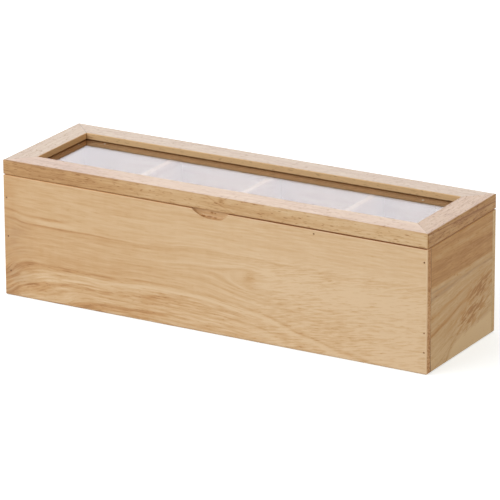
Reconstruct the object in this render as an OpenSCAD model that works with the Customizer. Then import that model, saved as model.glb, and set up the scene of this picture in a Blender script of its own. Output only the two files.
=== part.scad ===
// Tea bag organizer box: a long wooden box with four compartments in a row under a hinged, glazed lid.
// The origin is the centre of the footprint on the table. +Z is up and the front panel faces -Y.

/* [Body] */
// Length of the box over the end panels
box_l = 336; // [260:1:420]
// Depth of the box from front face to back face
box_d = 100; // [84:1:140]
// Height of the body from the table to its rim
body_h = 89; // [70:1:130]
// Thickness of the front and back panels
panel_t = 5; // [5:0.5:9]
// Thickness of the end panels
end_t = 8; // [7:0.5:12]
// Radius of the outer edges along the table
foot_edge_r = 2; // [1:0.25:3]
// Radius of every other outer edge of the body and lid
edge_r = 1; // [0.9:0.05:1.2]
// Radius of the inner edges round the rim
rim_edge_r = 0.5; // [0.2:0.1:0.8]

/* [Base panel] */
// Thickness of the base panel
base_t = 3; // [2.5:0.5:5]
// Height of the base panel's underside above the table
base_up = 4; // [3:0.5:8]
// Depth that the base panel reaches into the walls
base_in = 3; // [2:0.5:4]
// Gap between the base panel's edges and the bottom of its groove
base_play = 0.2; // [0.1:0.05:0.5]

/* [Dividers] */
// Thickness of a divider
divider_t = 5; // [4:0.5:8]
// Depth that a divider reaches into the front and back panels
divider_in = 1.5; // [1:0.25:1.75]
// Drop of a divider's top below the rim
divider_drop = 1; // [0:0.5:20]
// Gap between a divider's ends and the bottom of its dadoes
divider_play = 0.1; // [0.05:0.05:0.3]
// Radius of a divider's top edges
divider_edge_r = 0.8; // [0.3:0.1:1.5]

/* [Thumb scoop] */
// Width of the scoop along the rim
scoop_w = 28.8; // [20:0.4:40]
// Width of the scoop's level part, which lies right of the middle
scoop_level_w = 6; // [2:0.5:8]
// Drop of the scoop below the rim
scoop_drop = 5.6; // [3:0.2:7]
// Depth of the scoop into the front panel
scoop_in = 2.6; // [2:0.2:3.2]
// Radius of the cove between the scoop's floor and its back
scoop_cove_r = 1.6; // [1:0.1:2]

/* [Brads] */
// Diameter of a brad's shank
brad_d = 0.9; // [0.7:0.1:1]
// Diameter of a brad's head
brad_head_d = 1.3; // [1.1:0.1:2]
// Thickness of a brad's head
brad_head_t = 0.6; // [0.4:0.1:1]
// Length of a brad
brad_l = 20; // [15:1:25]
// Depth of the brad heads below the face
brad_set = 0.4; // [0.2:0.1:0.8]
// Drop of the divider brads below the dividers' tops
divider_brad_drop = 2; // [2:0.5:20]
// Gap between a driven fastener and the wood round it
fastener_play = 0.02; // [0.01:0.01:0.05]

/* [Lid] */
// Thickness of the lid's rails
lid_t = 10.6; // [9:0.2:16]
// Gap between the rim and the closed lid
lid_gap = 0.4; // [0.3:0.05:0.5]
// Width of the lid's rails
rail_w = 18; // [14:0.5:24]
// Radius of the rails' edges round the window
window_edge_r = 0.6; // [0.3:0.1:1]

/* [Window pane] */
// Thickness of the pane
pane_t = 2; // [1.5:0.25:3]
// Drop of the pane's upper face below the top of the lid
pane_drop = 4.9; // [2.5:0.1:6]
// Depth that the pane reaches into the rails
pane_in = 4; // [3:0.5:6]
// Gap between the pane's edges and the bottom of its groove
pane_play = 0.5; // [0.2:0.1:1]
// Gap between the pane's upper face and the groove's upper side
pane_rise = 0.6; // [0.2:0.1:0.8]

/* [Hinges] */
// Distance from each end of the box to the middle of its hinge
hinge_in = 58; // [40:1:90]
// Length of a hinge
hinge_l = 30; // [24:1:40]
// Outer radius of the hinge knuckles
knuckle_r = 1.5; // [1.4:0.05:1.6]
// Gap between neighbouring knuckles
knuckle_gap = 0.2; // [0.15:0.05:0.4]
// Thickness of the hinge leaves
leaf_t = 0.8; // [0.6:0.1:1]
// Distance of the hinge axis in from the back faces
axis_in = 0.67; // [0.6:0.01:0.72]
// Radius of the hinge pins
pin_r = 0.75; // [0.6:0.05:0.8]
// Radial running clearance of a pin in its knuckles
pin_play = 0.05; // [0.03:0.01:0.08]
// Radius of the pins' peened ends
pin_head_r = 1.2; // [1:0.1:1.3]
// Length of the pins' peened ends
pin_head_l = 0.6; // [0.4:0.1:1]
// Clearance of the knuckles in the round recess cut in the wood
recess_play = 0.25; // [0.2:0.05:0.3]
// Clearance of the leaves in their mortises
mortise_play = 0.1; // [0.05:0.05:0.3]

/* [Hinge screws] */
// Radius of a screw's countersunk head
screw_head_r = 1.1; // [1:0.05:1.15]
// Radius of a screw's shank
screw_r = 0.65; // [0.5:0.05:0.7]
// Length of a screw
screw_l = 6; // [5:0.5:8]
// Distance of the screws from the hinge axis
screw_off = 3; // [2.9:0.05:3.2]
// Distance between the two screws of a leaf
screw_pitch = 19; // [12:1:22]
// Width of the cross recess in a screw's head
drive_w = 0.35; // [0.3:0.05:0.5]
// Depth of the cross recess in a screw's head
drive_deep = 0.45; // [0.3:0.05:0.6]

/* [Hidden] */
$fn = 64;

// Length that a cutter runs past the surface it opens
over = 1;
// Facets of the small fasteners, still taken as true rounds
fine_fn = 32;

// Clear space between the walls
inner_l = box_l - 2 * end_t;
inner_d = box_d - 2 * panel_t;
floor_z = base_up + base_t;

// Three dividers make four equal compartments
divider_count = 3;
compartment_l = (inner_l - divider_count * divider_t) / (divider_count + 1);
divider_pitch = compartment_l + divider_t;
divider_xs = [for (i = [0 : divider_count - 1]) (i - (divider_count - 1) / 2) * divider_pitch];
divider_top_z = body_h - divider_drop;

// Radius of an arc that rises by the scoop's drop over the given run
function scoop_r(run) = (pow(run, 2) + pow(scoop_drop, 2)) / (2 * scoop_drop);

// Brads into an end panel, top to bottom: [share of the end panel's thickness, share of the body's
// height]. They are driven by hand, so neither row is quite straight or even.
left_brads = [[0.34, 0.815], [0.43, 0.495], [0.65, 0.21]];
right_brads = [[0.34, 0.895], [0.3, 0.335], [0.31, 0.18]];
// Dividers that are nailed too, counted from the left as the nailer sees them
front_nailed_dividers = [2];
back_nailed_dividers = [0, 1, 2];

// Lid levels, window and pane
lid_z = body_h + lid_gap;
lid_top_z = lid_z + lid_t;
window_l = box_l - 2 * rail_w;
window_d = box_d - 2 * rail_w;
pane_z = lid_top_z - pane_drop - pane_t;

// Hinges: the barrel lies along X in the middle of the gap under the lid
axis_y = box_d / 2 - axis_in;
axis_z = body_h + lid_gap / 2;
hinge_x = box_l / 2 - hinge_in;
leaf_w = panel_t - axis_in;
knuckle_count = 5;
knuckle_l = (hinge_l - (knuckle_count - 1) * knuckle_gap) / knuckle_count;
box_knuckles = [0, 2, 4];
lid_knuckles = [1, 3];
recess_r = knuckle_r + recess_play;
recess_l = hinge_l + 2 * (pin_head_l + recess_play);
// Length of a screw's pointed end
screw_tip_l = 2 * screw_r;

// ---- Shared shapes

// Quarter-round cutter for an edge along X through the origin, with the wood on its +Y +Z side
module edge_cutter(length, r) {
    translate([-length / 2 - over, 0, 0])
        rotate([90, 0, 90])
            linear_extrude(length + 2 * over)
                difference() {
                    translate([-over, -over]) square(r + over);
                    translate([r, r]) circle(r);
                }
}

// Cutters for all outer edges of a block that stands centred on the Z axis
module block_edges(size, foot_r, top_r, corner_r) {
    for (turn = [0, 180]) rotate([0, 0, turn]) {
        translate([0, -size.y / 2, 0]) edge_cutter(size.x, foot_r);
        translate([0, -size.y / 2, size.z]) mirror([0, 0, 1]) edge_cutter(size.x, top_r);
        translate([-size.x / 2, 0, 0]) rotate([0, 0, -90]) edge_cutter(size.y, foot_r);
        translate([-size.x / 2, 0, size.z])
            mirror([0, 0, 1]) rotate([0, 0, -90]) edge_cutter(size.y, top_r);
        for (side = [0, 1]) mirror([side, 0, 0])
            translate([-size.x / 2, -size.y / 2, size.z / 2])
                rotate([0, 90, 0]) edge_cutter(size.z, corner_r);
    }
}

// Block that stands centred on the Z axis with its foot at height z
module centred_block(size, z) {
    translate([-size.x / 2, -size.y / 2, z]) cube(size);
}

// Places its children at both hinges, in a frame whose X axis is the hinge axis
module at_hinges() {
    for (side = [-1, 1]) translate([side * hinge_x, axis_y, axis_z]) children();
}

// ---- Body

module body_edges() {
    block_edges([box_l, box_d, body_h], foot_edge_r, edge_r, edge_r);
}

// Groove round the inside of the walls that holds the base panel
module base_groove() {
    reach = 2 * (base_in + base_play);
    centred_block([inner_l + reach, inner_d + reach, base_t], base_up);
}

// Dadoes in the front and back panels that hold the dividers
module divider_dadoes() {
    for (x = divider_xs) translate([x, 0, 0])
        centred_block([divider_t, inner_d + 2 * divider_in, body_h - floor_z + over], floor_z);
}

// Softens the rim's inner edge along the front and back panels
module long_rim_edges() {
    for (turn = [0, 180]) rotate([0, 0, turn])
        translate([0, -inner_d / 2, body_h])
            rotate([180, 0, 0]) edge_cutter(inner_l, rim_edge_r);
}

// Softens the rim's inner edge along the end panels
module short_rim_edges() {
    for (turn = [90, -90]) rotate([0, 0, turn])
        translate([0, -inner_l / 2, body_h])
            rotate([180, 0, 0]) edge_cutter(inner_d, rim_edge_r);
}

// Profile of the scoop from its floor up to the height r, with its back towards +Y and a cove between
module scoop_profile(r) {
    translate([0, -over]) square([r, scoop_in - scoop_cove_r + over]);
    square([r - scoop_cove_r, scoop_in]);
    translate([r - scoop_cove_r, scoop_in - scoop_cove_r]) circle(scoop_cove_r);
}

// Half of a coved disc that stands on the origin, on its -X side
module scoop_side(run) intersection() {
    r = scoop_r(run);
    translate([0, 0, r]) rotate([-90, 0, 0]) rotate_extrude() scoop_profile(r);
    translate([-r - over, -2 * over, -over]) cube([r + over, scoop_in + 3 * over, 2 * (r + over)]);
}

// Half-moon finger scoop: a level cove between two arcs, the left one long and the right one short
module thumb_scoop() translate([0, -box_d / 2, body_h - scoop_drop]) {
    r = scoop_r(scoop_w / 2);
    scoop_side(scoop_w / 2);
    translate([scoop_level_w, 0, 0]) mirror([1, 0, 0]) scoop_side(scoop_w / 2 - scoop_level_w);
    translate([0, 0, r]) rotate([0, 90, 0]) linear_extrude(scoop_level_w) scoop_profile(r);
}

// One brad along +Y with its head at the origin, or the hole that it makes with some play
module brad(play = 0, run_out = 0) {
    rotate([-90, 0, 0]) {
        translate([0, 0, -run_out])
            cylinder(d = brad_head_d + 2 * play, h = brad_head_t + run_out + play, $fn = fine_fn);
        cylinder(d = brad_d + 2 * play, h = brad_l + play, $fn = fine_fn);
    }
}

// Places its children at every brad of the panel towards -Y: three into each end panel,
// and one into each of the listed dividers
module at_panel_brads(dividers) {
    face_y = -box_d / 2 + brad_set;
    for (b = left_brads)
        translate([-box_l / 2 + b[0] * end_t, face_y, b[1] * body_h]) children();
    for (b = right_brads)
        translate([box_l / 2 - b[0] * end_t, face_y, b[1] * body_h]) children();
    for (i = dividers)
        translate([divider_xs[i], face_y, divider_top_z - divider_brad_drop]) children();
}

// The back is nailed like the front, turned round
module at_back_brads() {
    rotate([0, 0, 180]) at_panel_brads(back_nailed_dividers) children();
}

module at_front_brads() {
    at_panel_brads(front_nailed_dividers) children();
}

module brad_holes() {
    at_front_brads() brad(fastener_play, brad_set + over);
    at_back_brads() brad(fastener_play, brad_set + over);
}

module front_panel() color("burlywood") difference() {
    translate([-box_l / 2, -box_d / 2, 0]) cube([box_l, panel_t, body_h]);
    body_edges();
    base_groove();
    divider_dadoes();
    long_rim_edges();
    thumb_scoop();
    brad_holes();
}

module back_panel() color("burlywood") difference() {
    translate([-box_l / 2, box_d / 2 - panel_t, 0]) cube([box_l, panel_t, body_h]);
    body_edges();
    base_groove();
    divider_dadoes();
    long_rim_edges();
    brad_holes();
    at_hinges() hinge_seat(over);
}

// An end panel fits between the front and back panels. side is -1 for the left and 1 for the right.
module end_panel(side) color("tan") difference() {
    translate([side * (box_l - end_t) / 2, 0, 0]) centred_block([end_t, inner_d, body_h], 0);
    body_edges();
    base_groove();
    short_rim_edges();
    brad_holes();
}

module base_panel() color("wheat")
    centred_block([inner_l + 2 * base_in, inner_d + 2 * base_in, base_t], base_up);

module divider(i) {
    depth = inner_d + 2 * (divider_in - divider_play);
    color("navajowhite") difference() {
        translate([divider_xs[i], 0, 0])
            centred_block([divider_t, depth, divider_top_z - floor_z], floor_z);
        for (turn = [90, -90]) translate([divider_xs[i], 0, divider_top_z])
            rotate([0, 0, turn]) translate([0, -divider_t / 2, 0])
                mirror([0, 0, 1]) edge_cutter(depth, divider_edge_r);
        brad_holes();
    }
}

module front_brads() color("dimgray") at_front_brads() brad();

module back_brads() color("dimgray") at_back_brads() brad();

// ---- Lid

// Mitred, grooved rail along X. reach is the distance from the box's middle to its outer face.
module lid_rail(length, reach) difference() {
    translate([0, -reach, lid_z])
        linear_extrude(lid_t)
            polygon([
                [-length / 2, 0], [length / 2, 0],
                [length / 2 - rail_w, rail_w], [rail_w - length / 2, rail_w]
            ]);
    translate([0, rail_w - reach, lid_top_z])
        rotate([180, 0, 0]) edge_cutter(length, window_edge_r);
    translate([0, rail_w - reach, lid_z])
        mirror([0, 1, 0]) edge_cutter(length, window_edge_r);
    translate([-length / 2, rail_w - reach - pane_in - pane_play, pane_z])
        cube([length, pane_in + pane_play + over, pane_t + pane_rise]);
}

module lid_edges() {
    translate([0, 0, lid_z]) block_edges([box_l, box_d, lid_t], edge_r, edge_r, edge_r);
}

module lid_front_rail() color("bisque") difference() {
    lid_rail(box_l, box_d / 2);
    lid_edges();
}

module lid_back_rail() color("bisque") difference() {
    rotate([0, 0, 180]) lid_rail(box_l, box_d / 2);
    lid_edges();
    at_hinges() mirror([0, 0, 1]) hinge_seat(mortise_play);
}

// A short rail across the lid. side is -1 for the left and 1 for the right.
module lid_end_rail(side) color("bisque") difference() {
    rotate([0, 0, side * 90]) lid_rail(box_d, box_l / 2);
    lid_edges();
}

module window_pane() color("lightcyan", 0.4)
    centred_block([window_l + 2 * pane_in, window_d + 2 * pane_in, pane_t], pane_z);

// ---- Hinges, in a frame whose X axis is the hinge axis, for the box side below it

function knuckle_x(i) = -hinge_l / 2 + i * (knuckle_l + knuckle_gap);

// Places its children at the two screws of a leaf, at the leaf's outer face
module at_screws() {
    for (side = [-1, 1])
        translate([side * screw_pitch / 2, -screw_off, -lid_gap / 2]) children();
}

// Screw pointing down with the top of its head at the origin, or its hole with some play
module screw_body(play = 0) {
    translate([0, 0, -leaf_t])
        cylinder(r1 = screw_r + play, r2 = screw_head_r + play, h = leaf_t, $fn = fine_fn);
    translate([0, 0, screw_tip_l - screw_l - play])
        cylinder(r = screw_r + play, h = screw_l - screw_tip_l - leaf_t + play, $fn = fine_fn);
    translate([0, 0, -screw_l - play])
        cylinder(r1 = play, r2 = screw_r + play, h = screw_tip_l, $fn = fine_fn);
}

module screw() difference() {
    screw_body();
    for (turn = [0, 90]) rotate([0, 0, turn])
        centred_block([1.3 * screw_head_r, drive_w, drive_deep + over], -drive_deep);
}

// Leaf let into the wood below the axis, with the listed knuckles rolled round the pin
module leaf(knuckles) difference() {
    union() {
        translate([-hinge_l / 2, -leaf_w, -lid_gap / 2 - leaf_t])
            cube([hinge_l, leaf_w - recess_r, leaf_t]);
        for (i = knuckles) translate([knuckle_x(i), 0, 0]) {
            translate([0, -leaf_w, -lid_gap / 2 - leaf_t]) cube([knuckle_l, leaf_w, leaf_t]);
            rotate([0, 90, 0]) cylinder(r = knuckle_r, h = knuckle_l);
        }
    }
    translate([-hinge_l / 2 - over, 0, 0])
        rotate([0, 90, 0]) cylinder(r = pin_r + pin_play, h = hinge_l + 2 * over);
    at_screws() screw_body(fastener_play);
}

// Room in the wood for one side of a hinge: a round recess for the barrel, a mortise for the
// leaf, and the screw holes. run_out is how far the mortise runs past the leaf's long edge.
module hinge_seat(run_out) {
    translate([-recess_l / 2, 0, 0]) rotate([0, 90, 0]) cylinder(r = recess_r, h = recess_l);
    translate([-hinge_l / 2 - mortise_play, -leaf_w - run_out, -lid_gap / 2 - leaf_t])
        cube([hinge_l + 2 * mortise_play, leaf_w + run_out, leaf_t + lid_gap / 2]);
    at_screws() screw_body(fastener_play);
}

module hinge_pin() color("goldenrod") {
    translate([-hinge_l / 2, 0, 0]) rotate([0, 90, 0]) cylinder(r = pin_r, h = hinge_l);
    for (side = [0, 1]) mirror([side, 0, 0]) translate([hinge_l / 2, 0, 0])
        rotate([0, 90, 0]) cylinder(r1 = pin_head_r, r2 = pin_r, h = pin_head_l);
}

// Puts its children at one hinge. side is -1 for the left and 1 for the right.
module at_hinge(side) {
    translate([side * hinge_x, axis_y, axis_z]) children();
}

module hinge_box_leaf(side) color("goldenrod") at_hinge(side) leaf(box_knuckles);

module hinge_lid_leaf(side) color("goldenrod") at_hinge(side) mirror([0, 0, 1]) leaf(lid_knuckles);

module hinge_box_screws(side) color("gold") at_hinge(side) at_screws() screw();

module hinge_lid_screws(side) color("gold") at_hinge(side) mirror([0, 0, 1]) at_screws() screw();

// ---- Assembly

front_panel();
back_panel();
end_panel(-1);  // left_end_panel
end_panel(1);  // right_end_panel
base_panel();
divider(0);  // left_divider
divider(1);  // middle_divider
divider(2);  // right_divider
front_brads();
back_brads();
lid_front_rail();
lid_back_rail();
lid_end_rail(-1);  // lid_left_rail
lid_end_rail(1);  // lid_right_rail
window_pane();
hinge_box_leaf(-1);  // left_hinge_box_leaf
hinge_lid_leaf(-1);  // left_hinge_lid_leaf
at_hinge(-1) hinge_pin();  // left_hinge_pin
hinge_box_screws(-1);  // left_hinge_box_screws
hinge_lid_screws(-1);  // left_hinge_lid_screws
hinge_box_leaf(1);  // right_hinge_box_leaf
hinge_lid_leaf(1);  // right_hinge_lid_leaf
at_hinge(1) hinge_pin();  // right_hinge_pin
hinge_box_screws(1);  // right_hinge_box_screws
hinge_lid_screws(1);  // right_hinge_lid_screws
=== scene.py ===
"""Tea bag organizer box: a long light-wood box with a glazed lid, in its finishes and under soft light."""

import logging
from dataclasses import dataclass
from enum import Enum
from functools import reduce

import bmesh
import bpy
import numpy as np
from mathutils import Matrix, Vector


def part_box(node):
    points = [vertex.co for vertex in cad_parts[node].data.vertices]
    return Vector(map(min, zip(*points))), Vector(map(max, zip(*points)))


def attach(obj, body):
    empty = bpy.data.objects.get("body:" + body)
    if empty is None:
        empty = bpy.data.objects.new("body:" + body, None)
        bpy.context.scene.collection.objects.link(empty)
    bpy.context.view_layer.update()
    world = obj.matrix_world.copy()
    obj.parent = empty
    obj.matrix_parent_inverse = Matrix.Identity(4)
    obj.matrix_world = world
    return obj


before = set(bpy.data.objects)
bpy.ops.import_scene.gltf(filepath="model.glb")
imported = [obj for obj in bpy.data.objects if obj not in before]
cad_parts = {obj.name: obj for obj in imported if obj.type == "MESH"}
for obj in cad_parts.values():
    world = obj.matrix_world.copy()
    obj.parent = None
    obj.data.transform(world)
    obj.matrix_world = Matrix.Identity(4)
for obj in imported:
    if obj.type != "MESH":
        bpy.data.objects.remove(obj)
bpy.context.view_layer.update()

MM = 0.001

Rgb = tuple[float, float, float]
Rgba = tuple[float, float, float, float]
Vec = tuple[float, float, float]
Pairs = tuple[tuple[float, float], ...]
Socket = bpy.types.NodeSocket
Place = tuple[Socket, Socket, Socket]
Value = float | Socket

# The curve between a colour as a screen shows it and its linear value
SCREEN_TOP = 255.0
SCREEN_KNEE = 0.04045
SCREEN_SLOPE = 12.92
SCREEN_OFFSET = 0.055
SCREEN_POWER = 2.4

# The noise node's mean, and the direction in which a shift moves its pattern
NOISE_MEAN = 0.5
SHIFT_WAY = (1.0, 0.37, -1.0)
# Where a new point of a curve or ramp lies until it gets its place
MIDDLE = 0.5
# Digits of a millimetre to which the frame's sizes are read
DIGITS = 3

log = logging.getLogger("tea_box")


# ---- Helpers

def linear(screen: Rgb) -> Rgba:
    """Turns a colour as a screen shows it into the linear colour that a shader takes.

    Args:
        screen: red, green and blue from 0 to 255.

    Returns:
        The linear colour with an alpha of 1.
    """
    c = np.asarray(screen, float) / SCREEN_TOP
    curved = ((c + SCREEN_OFFSET) / (1.0 + SCREEN_OFFSET)) ** SCREEN_POWER
    rgb = np.where(c <= SCREEN_KNEE, c / SCREEN_SLOPE, curved)
    return (*(float(v) for v in rgb), 1.0)


def grey(level: float) -> Rgba:
    """A linear grey, which is white at 1."""
    return (level, level, level, 1.0)


def unit(vector: np.ndarray) -> np.ndarray:
    """The vector scaled to a length of one."""
    return vector / np.linalg.norm(vector)


def axes_matrix(*columns: np.ndarray) -> Matrix:
    """A turn whose three columns are the object's own axes."""
    return Matrix(np.column_stack(columns).tolist()).to_4x4()


def show(name: str, data: bpy.types.ID) -> bpy.types.Object:
    """Puts a new object into the scene.

    Args:
        name: its name.
        data: its mesh, light or camera.

    Returns:
        The object.
    """
    made = bpy.data.objects.new(name, data)
    bpy.context.scene.collection.objects.link(made)
    return made


@dataclass(frozen=True)
class Board:
    """The block that one piece was sawn from, in millimetres."""

    low: np.ndarray
    high: np.ndarray

    @classmethod
    def of_node(cls, node: str) -> "Board":
        """The block round a CAD node at rest."""
        low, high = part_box(node)
        return cls(np.round(np.array(low) / MM, DIGITS), np.round(np.array(high) / MM, DIGITS))


FRONT_PANEL = Board.of_node("front_panel")
FRONT_RAIL = Board.of_node("lid_front_rail")
PANE = Board.of_node("window_pane")
# Half the box's length and depth, and the lid rails' width
HALF_LENGTH = float(FRONT_PANEL.high[0])
HALF_DEPTH = -float(FRONT_PANEL.low[1])
RAIL_WIDTH = float(FRONT_RAIL.high[1] - FRONT_RAIL.low[1])
# Z of the pane's two faces
PANE_UNDER = float(PANE.low[2])
PANE_TOP = float(PANE.high[2])


@dataclass(frozen=True)
class Fade:
    """A smooth step over a number: start up to low, end from high on. Low may be the greater of the two."""

    low: float
    high: float
    start: float = 0.0
    end: float = 1.0


@dataclass(frozen=True)
class Area:
    """A soft-edged area of a face: the product of a fade along it and a fade up it."""

    along: Fade
    up: Fade


@dataclass(frozen=True)
class Ridge:
    """A bump over a number x, height times exp(-((x - centre) / width) squared)."""

    centre: float
    width: float
    height: float = 1.0


@dataclass(frozen=True)
class Spot:
    """A bump over a face, the product of a ridge along it and a ridge up it."""

    at: tuple[float, float]
    size: tuple[float, float]
    height: float = 1.0


@dataclass(frozen=True)
class Waves:
    """Soft noise that is drawn out along the axes."""

    # Waves per millimetre along each axis
    scale: Vec
    # How far the pattern is moved, and how many finer layers lie on it
    shift: float = 0.0
    detail: float = 2.0


class NodeGraph:
    """The nodes of a new material or world, and short calls that add to them, each giving back its result."""

    def __init__(self, owner: bpy.types.Material | bpy.types.World) -> None:
        """Starts with no nodes.

        Args:
            owner: the material or world.
        """
        owner.use_nodes = True
        self.owner = owner
        self.tree = owner.node_tree
        self.tree.nodes.clear()

    @classmethod
    def of_material(cls, name: str) -> "NodeGraph":
        """The graph of a new material."""
        return cls(bpy.data.materials.new(name))

    def node(self, kind: str, inputs: dict[int | str, object], **settings: object) -> bpy.types.Node:
        """Adds a node.

        Args:
            kind: Blender's name of the node type.
            inputs: what goes into its sockets, each a socket to link or a plain value.
            settings: properties of the node.

        Returns:
            The new node.
        """
        made = self.tree.nodes.new(kind)
        for key, value in settings.items():
            setattr(made, key, value)
        for key, value in inputs.items():
            if isinstance(value, bpy.types.NodeSocket):
                self.tree.links.new(value, made.inputs[key])
            else:
                made.inputs[key].default_value = value
        return made

    def math(self, operation: str, a: Value, b: Value = 0.0, c: Value = 0.0) -> Socket:
        """One sum on up to three numbers."""
        return self.node("ShaderNodeMath", {0: a, 1: b, 2: c}, operation=operation).outputs[0]

    def total(self, *numbers: Value) -> Value:
        """The numbers added up."""
        return reduce(lambda a, b: self.math("ADD", a, b), numbers)

    def product(self, *numbers: Value) -> Value:
        """The numbers multiplied together."""
        return reduce(lambda a, b: self.math("MULTIPLY", a, b), numbers)

    def scaled_sum(self, start: Value, *terms: tuple[Value, float]) -> Value:
        """The start plus each term's number times its factor."""
        return reduce(lambda result, term: self.math("MULTIPLY_ADD", *term, result), terms, start)

    def gap(self, x: Value, centre: float) -> Socket:
        """The distance between a number and a centre."""
        return self.math("ABSOLUTE", self.math("SUBTRACT", x, centre))

    def fade(self, x: Value, fade: Fade) -> Socket:
        """The fade at x."""
        inputs = {0: x, 1: fade.low, 2: fade.high, 3: fade.start, 4: fade.end}
        return self.node("ShaderNodeMapRange", inputs, interpolation_type="SMOOTHSTEP").outputs[0]

    def area(self, x: Value, z: Value, area: Area) -> Value:
        """The area at x along and z up."""
        return self.product(self.fade(x, area.along), self.fade(z, area.up))

    def ridge(self, x: Value, ridge: Ridge) -> Value:
        """The ridge at x."""
        away = self.math("DIVIDE", self.math("SUBTRACT", x, ridge.centre), ridge.width)
        return self.product(self.math("EXPONENT", self.product(away, away, -1.0)), ridge.height)

    def spot(self, x: Value, z: Value, spot: Spot) -> Value:
        """The spot at x along and z up."""
        along = self.ridge(x, Ridge(spot.at[0], spot.size[0], spot.height))
        return self.product(along, self.ridge(z, Ridge(spot.at[1], spot.size[1])))

    def curve(self, x: Value, points: Pairs) -> Socket:
        """A smooth curve through a few points.

        Args:
            x: the number to look up.
            points: pairs of x and result, in rising order of x.

        Returns:
            The curve's result at x.
        """
        place = np.array(points, float)
        start, reach = place.min(0), np.ptp(place, 0)
        share = self.math("DIVIDE", self.math("SUBTRACT", x, float(start[0])), float(reach[0]))
        made = self.node("ShaderNodeFloatCurve", {1: share})
        line = made.mapping.curves[0]
        while len(line.points) < len(points):
            line.points.new(MIDDLE, MIDDLE)
        for point, (along, up) in zip(line.points, (place - start) / reach):
            point.location = (along, up)
        made.mapping.update()
        return self.math("MULTIPLY_ADD", made.outputs[0], float(reach[1]), float(start[1]))

    def ramp(self, x: Value, stops: tuple[tuple[float, Rgba], ...]) -> Socket:
        """A colour ramp.

        Args:
            x: the number to look up.
            stops: pairs of place and linear colour, in rising order of place.

        Returns:
            The ramp's colour at x.
        """
        made = self.node("ShaderNodeValToRGB", {0: x})
        elements = made.color_ramp.elements
        while len(elements) < len(stops):
            elements.new(MIDDLE)
        for element, (place, colour) in zip(elements, stops):
            element.position = place
            element.color = colour
        return made.outputs[0]

    def layers(self, height: Value, tones: Pairs) -> Socket:
        """The grey at a height among layers, which are pairs of height and grey from zero up."""
        top = tones[-1][0]
        return self.ramp(self.math("DIVIDE", height, top), tuple((z / top, grey(tone)) for z, tone in tones))

    def mix(self, share: Value, a: Rgba | Socket, b: Rgba | Socket) -> Socket:
        """A colour between a and b."""
        return self.node("ShaderNodeMix", {0: share, 6: a, 7: b}, data_type="RGBA").outputs[2]

    def noise(self, point: Socket, waves: Waves, shift: float = 0.0) -> Socket:
        """The waves at a point.

        Args:
            point: where to look them up, in millimetres.
            waves: their scale, shift and detail.
            shift: how much further they are moved, which makes one board differ from the next.

        Returns:
            A number round zero, mostly within a half.
        """
        moved = tuple((waves.shift + shift) * way for way in SHIFT_WAY)
        inputs = {0: point, 1: waves.scale, 2: moved}
        place = self.node("ShaderNodeVectorMath", inputs, operation="MULTIPLY_ADD").outputs[0]
        inputs = {"Vector": place, "Scale": 1.0, "Detail": waves.detail}
        return self.math("SUBTRACT", self.node("ShaderNodeTexNoise", inputs).outputs[0], NOISE_MEAN)

    def place(self) -> Place:
        """The point's own place on the object.

        Returns:
            X, Y and Z in millimetres.
        """
        metres = self.node("ShaderNodeTexCoord", {}).outputs["Object"]
        scaled = self.node("ShaderNodeVectorMath", {0: metres, "Scale": 1.0 / MM}, operation="SCALE")
        return tuple(self.node("ShaderNodeSeparateXYZ", {0: scaled.outputs[0]}).outputs)

    def facing(self) -> Place:
        """How far the surface faces along each axis, either way.

        Returns:
            Three numbers from 0 to 1.
        """
        normal = self.node("ShaderNodeTexCoord", {}).outputs["Normal"]
        parts = self.node("ShaderNodeSeparateXYZ", {0: normal}).outputs
        return tuple(self.math("ABSOLUTE", part) for part in parts)

    def point(self, x: Value, y: Value, z: Value) -> Socket:
        """A vector of three numbers."""
        return self.node("ShaderNodeCombineXYZ", {0: x, 1: y, 2: z}).outputs[0]

    def arris_distance(self, board: Board, place: Place) -> Socket:
        """How far a point on a board's face is from the nearest arris.

        On a face, the smallest of the distances to the board's three pairs of faces is zero, so the
        middle one is the distance to the nearest arris.

        Args:
            board: the block that the piece was sawn from.
            place: the point's own place.

        Returns:
            The distance in millimetres.
        """
        middle, half = (board.low + board.high) / 2, (board.high - board.low) / 2
        a, b, c = (self.math("SUBTRACT", float(half[axis]), self.gap(along, float(middle[axis])))
                   for axis, along in enumerate(place))
        lesser, greater = self.math("MINIMUM", a, b), self.math("MAXIMUM", a, b)
        return self.math("MAXIMUM", lesser, self.math("MINIMUM", greater, c))

    def seen(self) -> Socket:
        """Tells what is looked at from what gives light.

        Returns:
            One for rays from the camera, also by way of metal or glass, and zero for the others.
        """
        rays = self.node("ShaderNodeLightPath", {}).outputs
        gloss = self.math("MAXIMUM", rays["Is Glossy Ray"], rays["Is Transmission Ray"])
        return self.math("MAXIMUM", gloss, rays["Is Camera Ray"])

    def bump(self, height: Value, distance: float) -> Socket:
        """A normal from a height that is worth distance millimetres."""
        inputs = {"Strength": 1.0, "Distance": distance * MM, "Height": height}
        return self.node("ShaderNodeBump", inputs).outputs[0]

    def finish(self, **sockets: object) -> bpy.types.Material:
        """Adds the shader and ends the material.

        Args:
            sockets: the shader's sockets by name, with _ for a space.

        Returns:
            The finished material.
        """
        inputs = {key.replace("_", " "): value for key, value in sockets.items()}
        shader = self.node("ShaderNodeBsdfPrincipled", inputs)
        self.node("ShaderNodeOutputMaterial", {0: shader.outputs[0]})
        return self.owner


# ---- The wood's figure

class Grain(Enum):
    """The direction of a board's fibres, as the axes along the grain, through the board and across it."""

    ALONG_X = (0, 1, 2)
    ALONG_Y = (1, 0, 2)


@dataclass(frozen=True)
class BoardPoint:
    """The shaded point of a board, in millimetres."""

    # Along the grain, through the board and across the grain
    u: Socket
    w: Socket
    v: Socket
    # Height of the growth layer through it
    s: Socket


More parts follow.
